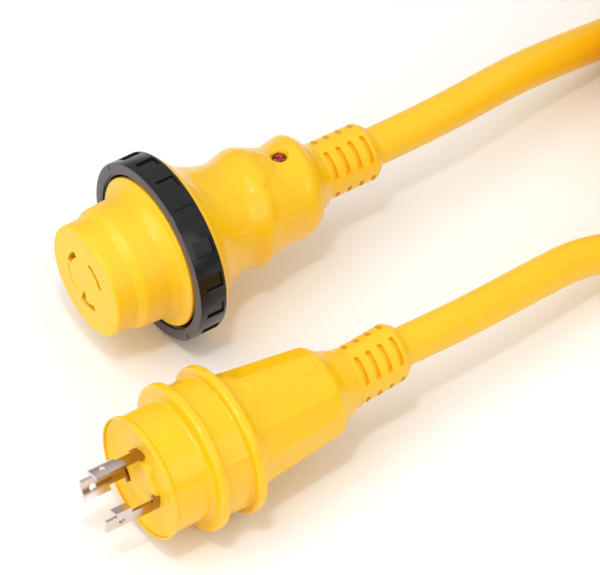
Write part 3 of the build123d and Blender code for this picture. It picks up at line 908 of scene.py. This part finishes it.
def softened(name, node, finish, slot, edge, segments=2, turned=0.0):
    """The plain solid's shape, turned about its own length by degrees, with eased edges."""
    mesh = nodes[node].data.copy()
    low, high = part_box(node)
    middle = Matrix.Translation((Vector(low) + Vector(high)) / 2)
    mesh.transform(middle @ Matrix.Rotation(math.radians(turned), 4, "X") @ middle.inverted())
    shape = bmesh.new()
    shape.from_mesh(mesh)
    bmesh.ops.remove_doubles(shape, verts=shape.verts, dist=2e-6)
    flat_edges = [e for e in shape.edges if len(e.link_faces) == 2 and e.calc_face_angle(0) < 0.002]
    bmesh.ops.dissolve_edges(shape, edges=flat_edges, use_verts=False)
    shape.to_mesh(mesh)
    shape.free()
    piece = piece_of(name, mesh, finish, Vector((0, 0, 0)), edge, sharp=32.0)
    piece.modifiers["edges"].segments = segments
    return install(piece, slot, node)


nickel = Finish("nickel_blade", Metallic=1.0)
stain = nickel.noise(110.0, 2.0)
drawn_out = {"Vector": nickel.places(), "Scale": (0.03, 1.0, 1.0)}
brushing = {"Vector": nickel.node("ShaderNodeMapping", {}, drawn_out), "Scale": 5200.0, "Detail": 2.0}
brushed = nickel.node("ShaderNodeTexNoise", {}, brushing, "Fac")
# Brown at the blades' roots by the face, silver towards the tips: painted shade and a painted
# reflection of the yellow face, broken up by stains.
stains_and_root_shade = (at_plug.x - nickel.axis("X")) * 110.0 - 0.9 + stain * 1.3
nickel.feed(
    Base_Color=nickel.blend(stains_and_root_shade, (0.44, 0.27, 0.15, 1), (0.68, 0.59, 0.565, 1)),
    Roughness=0.08 + stain * 0.10 + brushed * 0.10,
)
nickel.bump(brushed, 0.000008)
for pole, turned in BLADE_TURNS.items():
    softened(f"blade_{pole}", f"plug_blade_{pole}", nickel.material, "nickel_blade", 0.3, 3, turned)


# ---- Inside pieces
# Brass contacts behind the connector's slots, crimps on every core, coloured core insulation,
# and the lamp's parts. They keep the plain solids' shapes.


def worn_metal(name, dull, bright, roughness):
    """Bare or tinned metal with a patchy tarnish."""
    metal = Finish(name, Metallic=1.0)
    tarnish = metal.noise(220.0, 4.0)
    metal.feed(Base_Color=metal.blend(tarnish, dull, bright), Roughness=roughness + tarnish * 0.2)
    return metal.bump(metal.noise(3000.0), 0.000006).material


def insulation(name, pale, deep, roughness=0.4):
    """Plain coloured plastic or enamel, slightly mottled."""
    coat = Finish(name, IOR=1.48)
    mottle = coat.noise(300.0, 3.0)
    coat.feed(Base_Color=coat.blend(mottle, deep, pale), Roughness=roughness + mottle * 0.12)
    return coat.bump(coat.noise(1800.0), 0.00002).material


inside = {
    worn_metal("brass_contact", (0.42, 0.30, 0.24, 1), (0.72, 0.55, 0.42, 1), 0.25): [
        "connector_contact_hot", "connector_contact_neutral", "connector_contact_ground",
    ],
    worn_metal("crimp", (0.55, 0.45, 0.28, 1), (0.76, 0.66, 0.45, 1), 0.30): [
        "connector_crimps", "plug_crimps",
    ],
    worn_metal("tinned_wire", (0.50, 0.50, 0.49, 1), (0.70, 0.70, 0.69, 1), 0.30): [
        "indicator_leads",
    ],
    insulation("black_core", (0.030, 0.030, 0.030, 1), (0.012, 0.012, 0.012, 1)): [
        "connector_wire_hot", "plug_wire_hot",
    ],
    insulation("white_core", (0.86, 0.86, 0.84, 1), (0.76, 0.76, 0.73, 1)): [
        "connector_wire_neutral", "plug_wire_neutral",
    ],
    insulation("green_core", (0.03, 0.36, 0.10, 1), (0.02, 0.26, 0.07, 1)): [
        "connector_wire_ground", "plug_wire_ground",
    ],
    insulation("lamp_glass", (0.60, 0.03, 0.03, 1), (0.38, 0.01, 0.01, 1), 0.1): ["indicator_led"],
    insulation("resistor_coat", (0.62, 0.47, 0.30, 1), (0.50, 0.36, 0.22, 1)): ["indicator_resistor"],
}
for finish, names in inside.items():
    for name in names:
        nodes[name].data.materials.clear()
        nodes[name].data.materials.append(finish)


# ---- Coil straps
# Two black hook-and-loop straps that hold the spare cable together. They are woven nylon tape,
# each passed once round the bundle of turns and closed on itself.

webbing = Finish("strap", IOR=1.45, Sheen_Weight=0.3, Sheen_Roughness=0.5)
THREAD_SPACING = 0.0011
waves = math.tau / THREAD_SPACING
warp = (webbing.axis("X") * waves).sine()
weft = ((webbing.axis("Y") + webbing.axis("Z")) * waves).sine()
weave = warp * weft * 0.5 + 0.5
webbing.feed(
    Base_Color=webbing.blend(weave, (0.010, 0.010, 0.011, 1), (0.035, 0.035, 0.038, 1)),
    Roughness=0.65 + weave * 0.2,
)
webbing.bump(weave, 0.00018)
straps = softened("cable_straps", "coil_straps", webbing.material, "strap", 0.4)


# ---- Studio
# A pale floor, broad soft lights with one small bright one for the glints, and a long lens that
# looks down on both ends of the cord.

floor_mesh = bpy.data.meshes.new("floor")
floor_mesh.from_pydata([(-6, -6, 0), (6, -6, 0), (6, 6, 0), (-6, 6, 0)], [], [(0, 1, 2, 3)])
floor = bpy.data.objects.new("floor", floor_mesh)
bpy.context.collection.objects.link(floor)
pale = Finish("pale_floor", Base_Color=(0.95, 0.95, 0.95, 1), Roughness=0.8)
floor_mesh.materials.append(pale.material)

CAMERA_AZIMUTH = math.radians(-33.4)
CAMERA_ELEVATION = math.radians(46.4)
CAMERA_DISTANCE = 5.0
CAMERA_TARGET = Vector((0.05815, 0.0116, 0.020))
VIEW_WIDTH = 0.2564
SENSOR = 36.0

toward_camera = Vector((
    math.sin(CAMERA_AZIMUTH) * math.cos(CAMERA_ELEVATION),
    -math.cos(CAMERA_AZIMUTH) * math.cos(CAMERA_ELEVATION),
    math.sin(CAMERA_ELEVATION),
))
camera_data = bpy.data.cameras.new("camera")
camera_data.sensor_width = SENSOR
camera_data.lens = SENSOR * CAMERA_DISTANCE / VIEW_WIDTH
camera_data.clip_end = 50
camera = bpy.data.objects.new("camera", camera_data)
camera.location = CAMERA_TARGET + toward_camera * CAMERA_DISTANCE
camera.rotation_euler = (-toward_camera).to_track_quat("-Z", "Y").to_euler()
bpy.context.collection.objects.link(camera)
bpy.context.scene.camera = camera

world = bpy.data.worlds.new("studio")
world.use_nodes = True
sky = world.node_tree
up = sky.nodes.new("ShaderNodeTexCoord").outputs["Generated"]
height = sky.nodes.new("ShaderNodeSeparateXYZ")
sky.links.new(up, height.inputs[0])
dome = sky.nodes.new("ShaderNodeValToRGB")
dome.color_ramp.elements[0].color = (0.42, 0.41, 0.42, 1)
dome.color_ramp.elements[1].position = 0.75
dome.color_ramp.elements[1].color = (1.0, 1.0, 1.0, 1)
sky.links.new(height.outputs["Z"], dome.inputs[0])
sky.links.new(dome.outputs[0], sky.nodes["Background"].inputs["Color"])
sky.nodes["Background"].inputs["Strength"].default_value = 0.78
bpy.context.scene.world = world


def softbox(name, place, size, power):
    """A square area light aimed at the camera's target, in metres and watts."""
    light = bpy.data.lights.new(name, "AREA")
    light.size = size
    light.energy = power
    lamp = bpy.data.objects.new(name, light)
    lamp.location = place
    lamp.rotation_euler = (CAMERA_TARGET - Vector(place)).to_track_quat("-Z", "Y").to_euler()
    bpy.context.collection.objects.link(lamp)


softbox("key", (-0.60, 0.10, 1.25), 1.0, 6.5)
softbox("side", (0.10, -1.3, 0.9), 1.0, 3.5)
softbox("front", (-1.4, -0.25, 0.45), 0.6, 3.4)
softbox("glint", (-0.30, -0.35, 1.3), 0.12, 3.0)
bpy.context.scene.view_settings.view_transform = "Standard"
